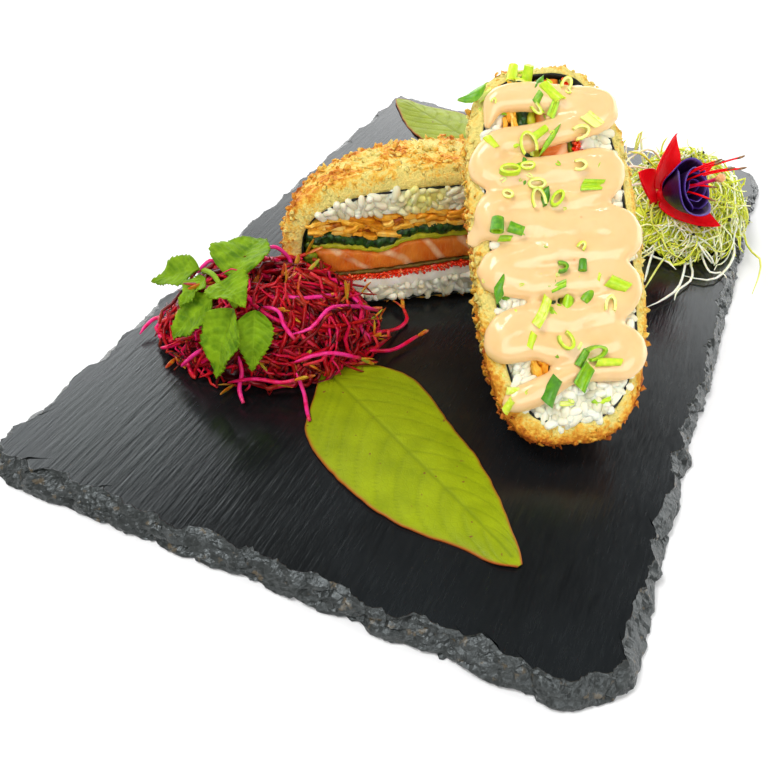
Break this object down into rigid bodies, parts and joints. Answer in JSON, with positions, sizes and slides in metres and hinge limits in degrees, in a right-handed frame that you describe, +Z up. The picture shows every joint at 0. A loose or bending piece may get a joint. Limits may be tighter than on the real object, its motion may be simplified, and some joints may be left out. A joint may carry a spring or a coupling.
{
  "type": "sushi burger on a slate board",
  "caption": "Cut sushi burger in a crumb crust on a slate board, zigzag sauce over its leaning half, with beet and leek sprouts, mint, broad leaves and a fuchsia flower.",
  "frame": {"origin": "middle of the slate board's underside", "axes": "+Z up; +Y along the board's long side, from the end with the single leaf to the end with the flower; +X across the board, towards the side with the leaning half"},
  "size_m": [0.182, 0.293, 0.093],
  "materials": {
    "slate": "satin",
    "crust": "matte",
    "nori": "satin",
    "rice": "satin",
    "cream_cheese": "satin",
    "roe": "gloss",
    "lettuce": "satin",
    "salmon": "satin",
    "avocado": "satin",
    "greens": "gloss",
    "crisp_flakes": "matte",
    "sauce": "gloss",
    "beet_sprouts": "satin",
    "leek_sprouts": "satin",
    "broad_leaf": "satin",
    "mint": "satin",
    "flower_corolla": "satin",
    "flower_sepal": "satin",
    "flower_pistil": "satin"
  },
  "bodies": {
    "root": {"slate_board": "slate", "flat_half_crust": "crust", "flat_half_nori": "nori", "flat_half_side_lettuce": "lettuce", "flat_half_rice_base": "rice", "flat_half_cream_cheese": "cream_cheese", "flat_half_roe": "roe", "flat_half_lettuce": "lettuce", "flat_half_salmon": "salmon", "flat_half_avocado": "avocado", "flat_half_greens": "greens", "flat_half_crisp_flakes": "crisp_flakes", "flat_half_rice_top": "rice", "leaning_half_crust": "crust", "leaning_half_nori": "nori", "leaning_half_rice_end": "rice", "leaning_half_rice_base": "rice", "leaning_half_cream_cheese": "cream_cheese", "leaning_half_roe": "roe", "leaning_half_lettuce": "lettuce", "leaning_half_salmon": "salmon", "leaning_half_avocado": "avocado", "leaning_half_greens": "greens", "leaning_half_crisp_flakes": "crisp_flakes", "leaning_half_rice_top": "rice", "leaning_half_sauce": "sauce", "beet_sprouts": "beet_sprouts", "leek_sprouts": "leek_sprouts", "leaf_front": "broad_leaf", "leaf_back": "broad_leaf", "mint_leaf_1": "mint", "mint_leaf_2": "mint", "mint_leaf_3": "mint", "mint_leaf_4": "mint", "mint_leaf_5": "mint", "mint_leaf_6": "mint", "mint_leaf_7": "mint", "mint_stem": "mint", "flower_corolla": "flower_corolla", "flower_sepal_1": "flower_sepal", "flower_sepal_2": "flower_sepal", "flower_sepal_3": "flower_sepal", "flower_sepal_4": "flower_sepal", "flower_pistil": "flower_pistil"}
  },
  "joints": []
}
